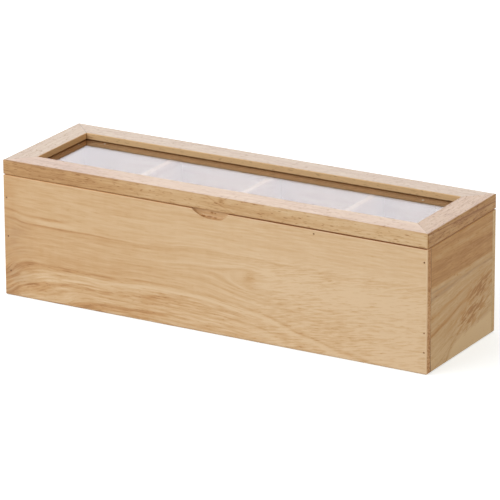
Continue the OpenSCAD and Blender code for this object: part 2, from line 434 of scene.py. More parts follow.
@dataclass(frozen=True)
class Figure:
    """How the growth layers run through a plain board: nearly straight, with a slow wander."""

    wander: float = 5.0
    shift: float = 0.0
    slow: Waves = Waves((0.007, 0.012, 0.022), detail=1.0)
    fibre: Waves = Waves((0.065, 0.6, 0.8), 7.7, 3.0)
    # Mean strength of the fibres, and how it changes over the board
    strength: float = 1.1
    strength_swing: float = 2.0
    uneven: Waves = Waves((0.01, 0.0, 0.03), 5.0)
    # The grey that leaves a board's tone as it is
    mid_tone: float = 0.5

    def contour(self, g: NodeGraph, u: Socket, w: Socket, v: Socket) -> Socket:
        """The height of the growth layer through a point: v plus a slow noise.

        Args:
            g: the material's graph.
            u: place along the grain.
            w: place through the board.
            v: place across the grain.

        Returns:
            A number in millimetres that stays the same along one layer.
        """
        return g.scaled_sum(v, (g.noise(g.point(u, w, v), self.slow, self.shift), self.wander))

    def tone(self, g: NodeGraph, at: BoardPoint) -> Value:
        """How much darker than the rest the figure makes a point. A plain board adds nothing."""
        return 0.0

    def stain(self, g: NodeGraph, at: BoardPoint) -> Value:
        """How far a grey mineral streak covers a point. A plain board has none."""
        return 0.0

    def fibres(self, g: NodeGraph, at: BoardPoint, seed: float) -> Socket:
        """Fine fibres that follow the growth layers, as a number round zero."""
        return g.noise(g.point(at.u, at.w, at.s), self.fibre, seed)

    def layering(self, g: NodeGraph, at: BoardPoint) -> Value:
        """How strongly the growth layers show, round one."""
        return 1.0

    def coarseness(self, g: NodeGraph, at: BoardPoint) -> Value:
        """How strongly the fibres show, round one."""
        swing = g.noise(g.point(at.u, 0.0, at.v), self.uneven, self.shift)
        return g.scaled_sum(self.strength, (swing, self.strength_swing))


@dataclass(frozen=True)
class FrontFigure(Figure):
    """The front panel's figure: low arches at the left, a pale streak that falls away to the right, a red
    line under a calm upper third, and a small eye right of the middle. Places are X and Z in millimetres."""

    wander: float = 2.0
    slow: Waves = Waves((0.012, 0.05, 0.05))
    # Y of the panel's outer face, and how far the layers rise per millimetre behind it
    face: float = -HALF_DEPTH
    lean: float = 0.35
    # Rise and fall of the growth layers along the panel, at five heights
    bends: tuple[tuple[float, Pairs], ...] = (
        (2.0, ((-168, -15), (-163, -13.4), (-153, -9.5), (-135, -7), (-118, -6), (-108, -3), (-95, -0.8),
               (-80, 0), (0, -0.3), (32, -2), (57, -8), (82, -15.5), (102, -24), (168, -31))),
        (15.0, ((-168, -12.4), (-164, -10.6), (-156, -7.4), (-141, -3.8), (-122, -1), (-103, -0.4),
                (-83, -0.8), (-60, -0.2), (0, -0.5), (32, -3.5), (57, -11), (82, -19), (102, -21),
                (168, -23))),
        (28.0, ((-168, -8.8), (-164, -6.8), (-158, -4.2), (-147, -1.4), (-134, -0.6), (-116, -1), (-98, -0.8),
                (-85, -1), (-48, 0.8), (-10, 0.4), (10, -2.2), (32, -6), (57, -10), (82, -11.5), (168, -14))),
        (57.0, ((-168, 0), (-158, -1.4), (-146, -3.4), (-118, -3.4), (-97, -3.1), (-68, -3.7), (-38, -3),
                (-13, 0), (22, 0.8), (70, 0.4), (168, 3))),
        (72.0, ((-168, -0.5), (-118, -1.2), (-68, -1.8), (-13, 0), (70, 0.6), (168, 2))),
    )
    # Tone of the layers from the table up, as pairs of height and grey, for the left and for the rest
    left_layers: Pairs = (
        (0, .52), (5, .60), (7.4, .70), (8.2, .44), (11, .40), (13.6, .47), (15.6, .68), (16.7, .70),
        (17.8, .44), (20, .32), (24, .34), (25.6, .48), (27.2, .66), (28.5, .66), (29.6, .49), (45, .55),
        (55, .56), (58.2, .58), (59.4, .84), (60.4, .46), (63, .40), (70, .48), (89, .48))
    right_layers: Pairs = (
        (0, .55), (5, .60), (8, .50), (14, .54), (20, .60), (23.4, .50), (25, .22), (26.6, .40), (28.4, .74),
        (30.4, .54), (35, .50), (37.6, .62), (39.4, .52), (41.6, .64), (42.6, .50), (44.2, .64), (45.4, .48),
        (47, .60), (48.4, .46), (56, .54), (59.4, .62), (60.4, .44), (66, .42), (75, .46), (89, .48))
    left_to_right: Fade = Fade(-88.0, -28.0)
    # Where the layers fade into plain wood at the left edge, and how they soften along the panel
    plain_edge: Fade = Fade(-150.0, -166.0, 0.0, 0.7)
    layer_strength: Pairs = ((-168, 0.4), (-100, 0.7), (-30, 1.0), (60, 0.5), (168, 0.45))
    brown_edges: tuple[Fade, ...] = (Fade(-168.0, -150.0, 0.07, 0.0), Fade(-80.0, -150.0, 0.0, 0.04))
    # The eye, which pushes the layers apart
    eye_at: tuple[float, float] = (31.0, 45.0)
    eye: Spot = Spot(eye_at, (25.0, 8.5), 9.5)
    # The eye's dark heart, the pale lower right corner and the brown lower left one
    spots: tuple[Spot, ...] = (Spot(eye_at, (6.0, 3.0), 0.14), Spot((150.0, 10.0), (34.0, 15.0), -0.14),
                               Spot((-163.0, 11.0), (9.0, 6.5), 0.17))
    # The panel pales to the right, less so at its top and near the table
    calm_along: Fade = Fade(-110.0, 90.0, 0.0, -0.30)
    calm_up: tuple[Fade, ...] = (Fade(52.0, 76.0, 1.0, 0.5), Fade(28.0, 18.0, 1.0, 0.75))
    # The second red line and the pale wedge under it, at the upper left, in layer heights
    upper_line: Ridge = Ridge(64.6, 0.9, 0.24)
    upper_line_end: Fade = Fade(-104.0, -126.0)
    wedge: Spot = Spot((-124.0, 62.2), (17.0, 1.7), -0.14)
    # Painted shade along the foot, and a painted highlight on the arris at the right, which isn't drawn on
    # the end grain beside it
    foot_shade: Fade = Fade(1.3, 0.5, 0.0, 0.14)
    right_arris_highlight: Fade = Fade(166.4, 167.3, 0.0, -0.3)
    off_end_grain: Fade = Fade(0.85, 0.6)
    # Greyish blotches down the left edge
    blotches: Waves = Waves((0.05, 0.0, 0.10), 9.0)
    blotch_cover: Fade = Fade(-0.12, 0.16, 0.04, 0.22)
    blotched: Area = Area(Fade(-138.0, -164.0), Fade(66.0, 54.0))
    # At the lower right the fibres are interlocked, and climb across the layers
    cross: Waves = Waves((0.11, 0.6, 0.95), 9.7, 3.0)
    cross_climb: float = 0.16
    crossed: Area = Area(Fade(10.0, 60.0), Fade(72.0, 58.0))
    # Strength of the fibres, and what is added to it near the table and at the right
    strength: float = 0.85
    coarse_low: Fade = Fade(32.0, 20.0, 0.0, 1.4)
    coarse_right: Area = Area(Fade(-10.0, 60.0), Fade(66.0, 56.0, 0.3, 1.1))
    # The thumb scoop: its depth in Y, its width and height, its brown, and its dark spots: three on its lower
    # rim, and two under the lid's edge, which are painted shade
    scoop_depth: tuple[Fade, ...] = (Fade(-49.95, -49.5), Fade(-47.0, -47.3))
    scoop: Area = Area(Fade(14.5, 14.0), Fade(82.5, 83.0))
    scoop_tone: float = 0.2
    scoop_dark_spots: tuple[Spot, ...] = (
        Spot((-5.8, 84.4), (1.3, 0.4), 0.9), Spot((-1.4, 84.3), (2.0, 0.45), 0.9),
        Spot((3.2, 84.1), (1.2, 0.35), 0.9), Spot((0.4, 87.3), (1.0, 0.55), 0.9),
        Spot((2.9, 87.1), (0.6, 0.4), 0.9))

    def contour(self, g: NodeGraph, u: Socket, w: Socket, v: Socket) -> Socket:
        """Height less the bend, which blends from each height's line to the next, pushed apart round the eye.

        Args:
            g: the material's graph.
            u: place along the grain.
            w: place through the board.
            v: place across the grain.

        Returns:
            A number in millimetres that stays the same along one layer.
        """
        level, points = self.bends[0]
        bend = g.curve(u, points)
        for next_level, next_points in self.bends[1:]:
            change = g.math("SUBTRACT", g.curve(u, next_points), bend)
            bend = g.math("MULTIPLY_ADD", change, g.fade(v, Fade(level, next_level)), bend)
            level = next_level
        above = g.math("DIVIDE", g.math("SUBTRACT", v, self.eye.at[1]), self.eye.size[1])
        push = g.product(above, g.spot(u, v, self.eye))
        slow = g.noise(g.point(u, w, v), self.slow, self.shift)
        inward = g.math("SUBTRACT", w, self.face)
        return g.scaled_sum(v, (bend, -1.0), (push, -1.0), (slow, self.wander), (inward, self.lean))

    def tone(self, g: NodeGraph, at: BoardPoint) -> Value:
        """The layers' tones, which change from the left set to the right one, and the marks over them, among
        them painted shade along the foot and a painted highlight on the right arris.

        Args:
            g: the material's graph.
            at: the shaded point.

        Returns:
            How much darker than the rest the point is.
        """
        sides = g.mix(g.fade(at.u, self.left_to_right), g.layers(at.s, self.left_layers),
                      g.layers(at.s, self.right_layers))
        layers = g.mix(g.fade(at.u, self.plain_edge), sides, grey(self.mid_tone))
        edges = [g.fade(at.u, fade) for fade in self.brown_edges]
        spots = [g.spot(at.u, at.v, spot) for spot in self.spots]
        calm = g.product(g.fade(at.u, self.calm_along), *(g.fade(at.v, fade) for fade in self.calm_up))
        line = g.product(g.ridge(at.s, self.upper_line), g.fade(at.u, self.upper_line_end))
        wedge = g.spot(at.u, at.s, self.wedge)
        # Painted shade along the foot, and a painted highlight on the right arris
        foot_shade = g.fade(at.v, self.foot_shade)
        arris = g.product(g.fade(at.u, self.right_arris_highlight), g.fade(g.facing()[0], self.off_end_grain))
        return g.total(-self.mid_tone, layers, *edges, *spots, calm, line, wedge, foot_shade, arris,
                       self.scoop_marks(g, at))

    def scoop_marks(self, g: NodeGraph, at: BoardPoint) -> Value:
        """The thumb scoop, painted browner than the face, with dark spots on its lower rim and painted shade
        in two spots under the lid's edge.

        Args:
            g: the material's graph.
            at: the shaded point.

        Returns:
            How much darker than the rest the point is.
        """
        cut = g.product(*(g.fade(at.w, fade) for fade in self.scoop_depth))
        near = g.area(g.math("ABSOLUTE", at.u), at.v, self.scoop)
        scoop_darkening = g.total(self.scoop_tone, *(g.spot(at.u, at.v, scoop_dark_spot) for scoop_dark_spot in self.scoop_dark_spots))
        return g.product(cut, near, scoop_darkening)

    def stain(self, g: NodeGraph, at: BoardPoint) -> Value:
        """Greyish blotches down the left edge."""
        blotch = g.noise(g.point(at.u, 0.0, at.v), self.blotches, self.shift)
        return g.product(g.area(at.u, at.v, self.blotched), g.fade(blotch, self.blotch_cover))

    def fibres(self, g: NodeGraph, at: BoardPoint, seed: float) -> Socket:
        """Fibres along the layers, and at the lower right shorter ones that climb across them.

        Args:
            g: the material's graph.
            at: the shaded point.
            seed: how far the noise is moved.

        Returns:
            A number round zero.
        """
        along = super().fibres(g, at, seed)
        climbing = g.scaled_sum(at.v, (at.u, -self.cross_climb))
        across = g.noise(g.point(at.u, at.w, climbing), self.cross, seed)
        change = g.math("SUBTRACT", across, along)
        return g.math("MULTIPLY_ADD", change, g.area(at.u, at.v, self.crossed), along)

    def layering(self, g: NodeGraph, at: BoardPoint) -> Value:
        """Layers that are softer in the arches at the left, and fade towards the right."""
        return g.curve(at.u, self.layer_strength)

    def coarseness(self, g: NodeGraph, at: BoardPoint) -> Value:
        """Coarser wood near the table and at the right."""
        more = g.math("MAXIMUM", g.fade(at.v, self.coarse_low), g.area(at.u, at.v, self.coarse_right))
        return g.total(self.strength, more)


@dataclass(frozen=True)
class EndFigure(Figure):
    """The right end panel's figure: a brown upper third with a sharp lower edge, lines that climb towards the
    back under it, and a mottled reddish patch. Places are Y and Z in millimetres."""

    wander: float = 2.5
    slow: Waves = Waves((0.02, 0.05, 0.05))
    # The layers' climb along the panel, and how it dies out under the brown third
    climb: Pairs = ((-50, -1.0), (-30, -0.75), (0, 0.05), (25, 0.7), (50, 1.0))
    lift: Pairs = ((0, 13), (20, 11), (38, 7), (52, 3.2), (60, 0), (89, 0))
    layer_tones: Pairs = (
        (0, .40), (17, .29), (25, .35), (33, .46), (41, .48), (51, .47), (54, .48), (59.2, .44), (61, .84),
        (64, .90), (67, .80), (73, .92), (77, .80), (80, .72), (84, .80), (89, .74))
    # Two brown lines on the front half, in layer heights
    lines: tuple[Ridge, ...] = (Ridge(35.8, 1.2, 0.38), Ridge(45.0, 1.2, 0.28))
    lines_end: Fade = Fade(20.0, -4.0)
    # Grey streaks under the brown third, one along a layer and one level, broken by a noise
    slant_streak: Ridge = Ridge(54.5, 1.1)
    level_streak: Ridge = Ridge(56.6, 0.8)
    level_streak_end: Fade = Fade(5.0, -15.0)
    breaks: Waves = Waves((0.06, 0.0, 0.5), 2.0, 3.0)
    streak_cover: Fade = Fade(-0.3, 0.15, 0.10, 0.36)
    # The mottled patches and their climb to the back, and the curls in them
    patches: tuple[Spot, ...] = (Spot((28.0, 39.0), (19.0, 7.5)), Spot((17.0, 25.0), (24.0, 8.5)))
    patch_climb: float = 0.18
    curls: Waves = Waves((0.14, 0.0, 0.62), detail=5.0)
    curl_climb: float = 0.35
    curl_tone: Fade = Fade(-0.09, 0.07, 0.0, 0.76)
    # The curved upper edge of the pale heartwood at the lower right, and the brown rim along it
    bay: Pairs = ((-50, -30), (-22, 1.7), (-17, 8), (-8, 14), (5, 17), (33, 18.5), (50, 21))
    bay_tone: Fade = Fade(0.0, 7.0, 0.0, -0.36)
    bay_rim: Ridge = Ridge(-0.6, 0.9, 0.22)
    bay_rim_end: Fade = Fade(2.0, -10.0)

    def contour(self, g: NodeGraph, u: Socket, w: Socket, v: Socket) -> Socket:
        """Height less a climb along the panel that dies out under the brown third.

        Args:
            g: the material's graph.
            u: place along the grain.
            w: place through the board.
            v: place across the grain.

        Returns:
            A number in millimetres that stays the same along one layer.
        """
        rise = g.product(g.curve(u, self.climb), g.curve(v, self.lift))
        slow = g.noise(g.point(u, w, v), self.slow, self.shift)
        return g.scaled_sum(v, (rise, -1.0), (slow, self.wander))

    def tone(self, g: NodeGraph, at: BoardPoint) -> Value:
        """The layers' tones, two brown lines, the mottled patches and the pale bay under them.

        Args:
            g: the material's graph.
            at: the shaded point.

        Returns:
            How much darker than the rest the point is.
        """
        layers = g.layers(at.s, self.layer_tones)
        both_lines = g.total(*(g.ridge(at.s, line) for line in self.lines))
        lines = g.product(both_lines, g.fade(at.u, self.lines_end))
        climbing = g.scaled_sum(at.v, (at.u, -self.curl_climb))
        curls = g.noise(g.point(at.u, 0.0, climbing), self.curls, self.shift)
        patches = []
        for patch in self.patches:
            level = g.scaled_sum(at.v, (g.math("SUBTRACT", at.u, patch.at[0]), -self.patch_climb))
            patches.append(g.spot(at.u, level, patch))
        mottle = g.product(g.fade(curls, self.curl_tone), g.math("MAXIMUM", *patches))
        under = g.math("SUBTRACT", g.curve(at.u, self.bay), at.v)
        rim = g.product(g.ridge(under, self.bay_rim), g.fade(at.u, self.bay_rim_end))
        return g.total(-self.mid_tone, layers, lines, mottle, g.fade(under, self.bay_tone), rim)

    def stain(self, g: NodeGraph, at: BoardPoint) -> Value:
        """Two grey streaks that meet towards the back.

        Args:
            g: the material's graph.
            at: the shaded point.

        Returns:
            How far they cover the point, from 0 to 1.
        """
        level = g.product(g.ridge(at.v, self.level_streak), g.fade(at.u, self.level_streak_end))
        streak = g.math("MAXIMUM", g.ridge(at.s, self.slant_streak), level)
        breaks = g.noise(g.point(at.u, 0.0, at.v), self.breaks, self.shift)
        return g.product(streak, g.fade(breaks, self.streak_cover))


@dataclass(frozen=True)
class RailFigure(Figure):
    """The lid's front rail: browner at its left. Its front side has a pale patch of sapwood at the middle, a
    pin knot, a curved dark boundary beside it, and paler wood at the right."""

    brown_left: Fade = Fade(-120.0, -40.0, 0.22, 0.0)
    # From one on the front side to zero behind it, in Y
    front_side: Fade = Fade(-49.9, -49.2, 1.0, 0.0)
    sapwood: Ridge = Ridge(-22.0, 20.0, -0.06)
    knot: Spot = Spot((9.5, 98.0), (2.2, 1.6), 0.34)
    boundary: Ridge = Ridge(1.0, 1.1, 0.18)
    boundary_lean: float = 2.2
    pale_right: Fade = Fade(30.0, 100.0, 0.0, -0.14)

    def tone(self, g: NodeGraph, at: BoardPoint) -> Value:
        """The brown left third, and the marks of the front side.

        Args:
            g: the material's graph.
            at: the shaded point.

        Returns:
            How much darker than the rest the point is.
        """
        leaning = g.scaled_sum(at.u, (g.math("SUBTRACT", at.v, self.knot.at[1]), self.boundary_lean))
        marks = g.total(g.ridge(leaning, self.boundary), g.ridge(at.u, self.sapwood),
                        g.spot(at.u, at.v, self.knot), g.fade(at.u, self.pale_right))
        return g.math("MULTIPLY_ADD", marks, g.fade(at.w, self.front_side), g.fade(at.u, self.brown_left))


@dataclass(frozen=True)
class SideRailFigure(Figure):
    """The lid's right rail: plain, with a dark layer along its outer side that fades towards the front."""

    dark_layer: Ridge = Ridge(96.9, 0.45)
    fall: float = 0.041
    layer_tone: Fade = Fade(-50.0, -20.0, 0.10, 0.34)
    outer_side: Fade = Fade(167.0, 167.6)

    def tone(self, g: NodeGraph, at: BoardPoint) -> Value:
        """The thin dark line on the outer side."""
        line = g.ridge(g.scaled_sum(at.v, (at.u, self.fall)), self.dark_layer)
        return g.product(line, g.fade(at.u, self.layer_tone), g.fade(at.w, self.outer_side))


# ---- Joints that show in the wood, and the painted shade and light along the lid's seam

@dataclass(frozen=True)
class Joint:
    """A line that shows where two boards meet, with its colour and the depth of its groove."""

    colour: Rgb = (84, 54, 34)
    groove: float = 2.0

    def darkness(self, g: NodeGraph, place: Place) -> Value:
        """How far the line covers a point, from 0 to 1."""
        raise NotImplementedError

    def tint(self, g: NodeGraph, place: Place) -> Rgba | Socket:
        """The line's colour at a point, here the same all along."""
        return linear(self.colour)


@dataclass(frozen=True)
class PanelJoint(Joint):
    """The hairline on the box's ends beside the front and the back panel. It opens near the table."""

    panel_face: float = -float(FRONT_PANEL.high[1])
    width: float = 0.4
    least_width: float = 0.05
    opening: Fade = Fade(2.0, 10.0, 0.75, 0.0)
    ragged: Waves = Waves((0.0, 0.3, 0.09), 3.0, 3.0)
    raggedness: float = 0.6
    # The back joint is fainter, and neither shows on faces that don't look along X
    fainter_back: Fade = Fade(0.0, 1.0, 1.0, 0.35)
    on_ends: Fade = Fade(0.6, 0.9, 0.0, 0.8)

    def darkness(self, g: NodeGraph, place: Place) -> Value:
        """Up to on_ends' end in the joint, and zero beside it.

        Args:
            g: the material's graph.
            place: the shaded point.

        Returns:
            How far the line covers the point.
        """
        _, y, z = place
        share = g.fade(y, self.fainter_back)
        ragged = g.noise(g.point(0.0, y, z), self.ragged)
        width = g.math("MULTIPLY_ADD", g.fade(z, self.opening), share, self.width)
        width = g.math("MAXIMUM", g.scaled_sum(width, (ragged, self.raggedness)), self.least_width)
        away = g.math("DIVIDE", g.gap(g.math("ABSOLUTE", y), self.panel_face), width)
        line = g.math("MAXIMUM", g.math("SUBTRACT", 1.0, away), 0.0)
        return g.product(line, share, g.fade(g.facing()[0], self.on_ends))


@dataclass(frozen=True)
class MitreJoint(Joint):
    """The hairline across the lid's corners, where the distances to both outer faces agree. One is open."""

    line: Fade = Fade(0.0, 0.32, 1.0, 0.0)
    closed: float = 0.35
    open_corner: Area = Area(Fade(-120.0, -135.0, 0.0, 0.6), Fade(15.0, 30.0))

    def darkness(self, g: NodeGraph, place: Place) -> Value:
        """The line's strength in the joint, and zero beside it.

        Args:
            g: the material's graph.
            place: the shaded point.

        Returns:
            How far the line covers the point.
        """
        x, y, _ = place
        from_end = g.math("SUBTRACT", HALF_LENGTH, g.math("ABSOLUTE", x))
        from_side = g.math("SUBTRACT", HALF_DEPTH, g.math("ABSOLUTE", y))
        away = g.math("ABSOLUTE", g.math("SUBTRACT", from_end, from_side))
        return g.product(g.total(self.closed, g.area(x, y, self.open_corner)), g.fade(away, self.line))


@dataclass(frozen=True)
class SeamLine(Joint):
    """The outer arrises where the lid meets the body, along the front and the right end, painted to set how
    dark the gap's shade looks: pale at the left and on the end, which lightens that shade, and darker brown
    towards the right, as painted shade."""

    groove: float = 0.0
    # Painted colours on the seam's arrises: pale ones that lighten the gap's shade, and a dark brown painted
    # shade
    bare: Rgb = (220, 174, 122)
    seam_painted_shade: Rgb = (162, 100, 52)
    end: Rgb = (208, 170, 128)
    level: float = 89.2
    # Over the distance from the seam's level, and over the distance past the box's outer faces
    near_level: Fade = Fade(0.6, 0.36)
    near_face: Fade = Fade(-1.5, -1.0)
    on_end: Fade = Fade(-1.5, -1.2)
    shade_to_right: Fade = Fade(-100.0, 55.0)

    def darkness(self, g: NodeGraph, place: Place) -> Value:
        """One on the outermost millimetres of both arrises, and zero over the rest.

        Args:
            g: the material's graph.
            place: the shaded point.

        Returns:
            How far the line covers the point.
        """
        x, y, z = place
        past_front = g.scaled_sum(-HALF_DEPTH, (y, -1.0))
        outer = g.fade(g.math("MAXIMUM", g.math("SUBTRACT", x, HALF_LENGTH), past_front), self.near_face)
        return g.product(outer, g.fade(g.gap(z, self.level), self.near_level))

    def tint(self, g: NodeGraph, place: Place) -> Rgba | Socket:
        """From the pale colour at the left to the painted shade at the right, and pale on the end, where it
        lightens the gap's shade.

        Args:
            g: the material's graph.
            place: the shaded point.

        Returns:
            The line's colour.
        """
        front = g.mix(g.fade(place[0], self.shade_to_right), linear(self.bare), linear(self.seam_painted_shade))
        past_end = g.math("SUBTRACT", place[0], HALF_LENGTH)
        return g.mix(g.fade(past_end, self.on_end), front, linear(self.end))


@dataclass(frozen=True)
class WindowSides:
    """The lid frame's sides that face each other across the window, with the pane's groove in them, which the
    rails colour with painted light.
    """

    half_length: float = HALF_LENGTH - RAIL_WIDTH
    half_depth: float = HALF_DEPTH - RAIL_WIDTH
    # The pane's groove: the gaps under and over the pane, its depth, and how softly it ends
    gap_under: float = 0.4
    gap_over: float = 0.6
    groove_depth: float = 3.6
    soft: float = 0.2
    # Over the distance into the wood
    skin: Fade = Fade(0.1, 0.6, 1.0, 0.0)

    def nearness(self, g: NodeGraph, place: Place) -> Value:
        """One on the window's sides and in the pane's groove, and zero from half a millimetre into the wood.

        Args:
            g: the material's graph.
            place: the shaded point.

        Returns:
            A number from 0 to 1.
        """
        x, y, z = place
        past_end = g.math("SUBTRACT", g.math("ABSOLUTE", x), self.half_length)
        past_side = g.math("SUBTRACT", g.math("ABSOLUTE", y), self.half_depth)
        low, high = PANE_UNDER - self.gap_under, PANE_TOP + self.gap_over
        groove = g.product(g.fade(z, Fade(low, low + self.soft)), g.fade(z, Fade(high + self.soft, high)))
        inside = g.scaled_sum(g.math("MAXIMUM", past_end, past_side), (groove, -self.groove_depth))
        return g.fade(inside, self.skin)

    def above_pane(self, g: NodeGraph, place: Place) -> Value:
        """One above the pane's groove, and zero beside the pane and below it."""
        high = PANE_TOP + self.gap_over
        return g.fade(place[2], Fade(high - self.soft / 2, high + self.soft / 2))


WINDOW = WindowSides()


# ---- Finishes

@dataclass(frozen=True)
class WoodTones:
    """The colours of one board, from its palest layer to its darkest, and of its stains."""

    pale: Rgb = (224, 197, 162)
    plain: Rgb = (212, 179, 138)
    warm: Rgb = (198, 156, 110)
    deep: Rgb = (164, 118, 74)
    stain: Rgb = (130, 86, 66)
    # Painted light on the window's sides above the pane, for the light the pane reflects onto them, and
    # beside and below it, warmer, for how they show through the pane and in its reflection
    window_side_painted_light: Rgb = (238, 198, 148)
    under_pane_painted_light: Rgb = (246, 184, 127)
    # Tone at which each of the first four lies
    stops: tuple[float, ...] = (0.12, 0.46, 0.72, 1.0)

    def colour(self, g: NodeGraph, tone: Value) -> Socket:
        """The wood's colour at a tone."""
        colours = map(linear, (self.pale, self.plain, self.warm, self.deep))
        return g.ramp(tone, tuple(zip(self.stops, colours)))


# Browner and more saturated; on the right end this also holds part of that side's warm shade, as painted
# shade
TAN = WoodTones((220, 198, 158), (199, 169, 123), (191, 149, 91), (168, 121, 60))
LID = WoodTones((222, 197, 161), (209, 176, 134), (193, 153, 107), (160, 115, 72))
# Darker and greyer, for the back and left rails: painted shade that offsets the stronger sheen on their tops
LID_FAR = WoodTones((209, 193, 162), (197, 174, 136), (184, 152, 109), (152, 115, 75))
# Browner; on the lid's right side this also holds part of that side's warm shade, as painted shade
LID_RIGHT = WoodTones((218, 198, 162), (200, 170, 125), (187, 146, 91), (150, 103, 56))
BARE = WoodTones((232, 208, 176), (220, 194, 158))


@dataclass(frozen=True)
class WoodFinish:
    """Rubberwood with fine open pores: pale straw with brown layers, under a clear satin lacquer."""

    node: str
    grain: Grain
    figure: Figure
    seed: float
    tones: WoodTones = WoodTones()
    joints: tuple[Joint, ...] = ()
    # Mean tone of the board, and how far each layer of its texture moves the tone
    mean_tone: float = 0.5
    broad_contrast: float = 0.22
    layer_contrast: float = 0.45
    ripple_contrast: float = 0.1
    fibre_contrast: float = 0.55
    pore_contrast: float = 0.275
    end_tone: float = 0.14
    # The arrises' tone: paler on most boards, worn and with a painted highlight; the rails set it darker, as
    # painted shade
    arris_tone: float = -0.06
    broad: Waves = Waves((0.004, 0.02, 0.07))
    layer: Waves = Waves((0.008, 0.06, 0.32), 3.1, 3.0)
    ripple: Waves = Waves((0.22, 0.05, 0.06), 11.3, 1.0)
    pore: Waves = Waves((0.22, 1.5, 1.5), 17.9, 1.0)
    # Where a pore shows, over its noise; an end face or a top, over its facing; an arris, over its distance
    pore_cover: Fade = Fade(0.13, 0.27)
    end_facing: Fade = Fade(0.75, 0.95)
    up_facing: Fade = Fade(0.7, 0.95)
    arris_reach: Fade = Fade(0.0, 1.6, 1.0, 0.0)
    # Roughness, and how far fibres, pores and end grain raise it
    roughness: float = 0.45
    roughening: Vec = (0.16, 0.12, 0.2)
    # The lacquer's gloss
    specular: float = 0.2
    coat_roughness: float = 0.3
    coat_index: float = 1.5
    # Relief in millimetres, and the shares of fibres and pores in it
    relief: float = 0.06
    relief_shares: tuple[float, float] = (0.5, -0.35)
    # Weight of the lacquer on top, and on the other faces; how far pores break it; where the top begins
    top_lacquer: float = 0.15
    side_lacquer: float = 0.1
    pore_lacquer: float = -0.6
    top: Fade = Fade(94.0, 96.0)
    # How far the window's sides take their colours of painted light, and how far fibres and pores change that
    window_painted_light_share: float = 0.0
    window_texture: tuple[float, float] = (0.5, -0.4)

    def tone(self, g: NodeGraph, at: BoardPoint, fine: Value) -> Value:
        """The board's tone: the mean plus its figure and its noises, which are drawn out along the grain.

        Args:
            g: the material's graph.
            at: the shaded point.
            fine: tone of the fibres and pores.

        Returns:
            A number that is 0 on the palest wood and 1 on the darkest.
        """
        along = g.point(at.u, at.w, at.s)
        layers = g.product(g.noise(along, self.layer, self.seed), self.figure.layering(g, at))
        tone = g.scaled_sum(self.mean_tone, (self.figure.tone(g, at), 1.0),
                            (g.noise(along, self.broad, self.seed), self.broad_contrast),
                            (layers, self.layer_contrast),
                            (g.noise(along, self.ripple, self.seed), self.ripple_contrast))
        return g.math("MULTIPLY_ADD", fine, self.figure.coarseness(g, at), tone)

    def window_painted_light(self, g: NodeGraph, place: Place, colour: Socket, fibres: Value,
                      pores: Value) -> Socket:
        """The board's colour with the window's sides in their colours of painted light.

        Args:
            g: the material's graph.
            place: the shaded point.
            colour: the board's colour.
            fibres: the fibres' noise.
            pores: the pores' cover.

        Returns:
            The colour.
        """
        by_fibre, by_pore = self.window_texture
        share = g.scaled_sum(self.window_painted_light_share, (fibres, by_fibre), (pores, by_pore))
        under, over = linear(self.tones.under_pane_painted_light), linear(self.tones.window_side_painted_light)
        side = g.mix(WINDOW.above_pane(g, place), under, over)
        return g.mix(g.product(share, WINDOW.nearness(g, place)), colour, side)

    def lacquer(self, g: NodeGraph, place: Place, pores: Value) -> Socket:
        """More lacquer on the top than on the other faces, but less in the top's pores.

        Args:
            g: the material's graph.
            place: the shaded point.
            pores: the pores' cover.

        Returns:
            The lacquer's weight.
        """
        above = g.product(g.fade(g.facing()[2], self.up_facing), g.fade(place[2], self.top))
        more = g.scaled_sum(self.top_lacquer - self.side_lacquer, (pores, self.pore_lacquer))
        return g.math("MULTIPLY_ADD", above, more, self.side_lacquer)

    def material(self) -> bpy.types.Material:
        """The finish for one board: its tone picks a colour, and stains, joints, the seam's painted shade and
        light and the window sides' painted light lie over that.

        Returns:
            The material.
        """
        g = NodeGraph.of_material(f"{self.node}_wood")
        place = g.place()
        u, w, v = (place[axis] for axis in self.grain.value)
        at = BoardPoint(u, w, v, self.figure.contour(g, u, w, v))
        fibres = self.figure.fibres(g, at, self.seed)
        pores = g.fade(g.noise(g.point(u, w, v), self.pore, self.seed), self.pore_cover)
        fine = g.scaled_sum(0.0, (fibres, self.fibre_contrast), (pores, self.pore_contrast))
        end_face = g.fade(g.facing()[self.grain.value[0]], self.end_facing)
        # The arrises: worn and a painted highlight on most boards, painted shade on the rails
        arris = g.fade(g.arris_distance(Board.of_node(self.node), place), self.arris_reach)
        tone = g.scaled_sum(self.tone(g, at, fine), (end_face, self.end_tone), (arris, self.arris_tone))
        colour = g.mix(self.figure.stain(g, at), self.tones.colour(g, tone), linear(self.tones.stain))
        # Painted light on the window's sides
        if self.window_painted_light_share:
            colour = self.window_painted_light(g, place, colour, fibres, pores)
        height = g.scaled_sum(0.0, *zip((fibres, pores), self.relief_shares))
        for joint in self.joints:
            darkness = joint.darkness(g, place)
            colour = g.mix(darkness, colour, joint.tint(g, place))
            height = g.scaled_sum(height, (darkness, -joint.groove))
        rough = g.scaled_sum(self.roughness, *zip((fibres, pores, end_face), self.roughening))
        return g.finish(Base_Color=colour, Roughness=rough, Normal=g.bump(height, self.relief),
                        Specular_IOR_Level=self.specular, Coat_Weight=self.lacquer(g, place, pores),
                        Coat_Roughness=self.coat_roughness, Coat_IOR=self.coat_index)

    def apply(self) -> None:
        """Gives the board its finish."""
        dress(self.node, self.material())


@dataclass(frozen=True)
class WallFinish(WoodFinish):
    """The finish of the box's walls, with the joints that show on them, and the painted shade and light along
    the seam.
    """

    joints: tuple[Joint, ...] = (PanelJoint(), SeamLine())


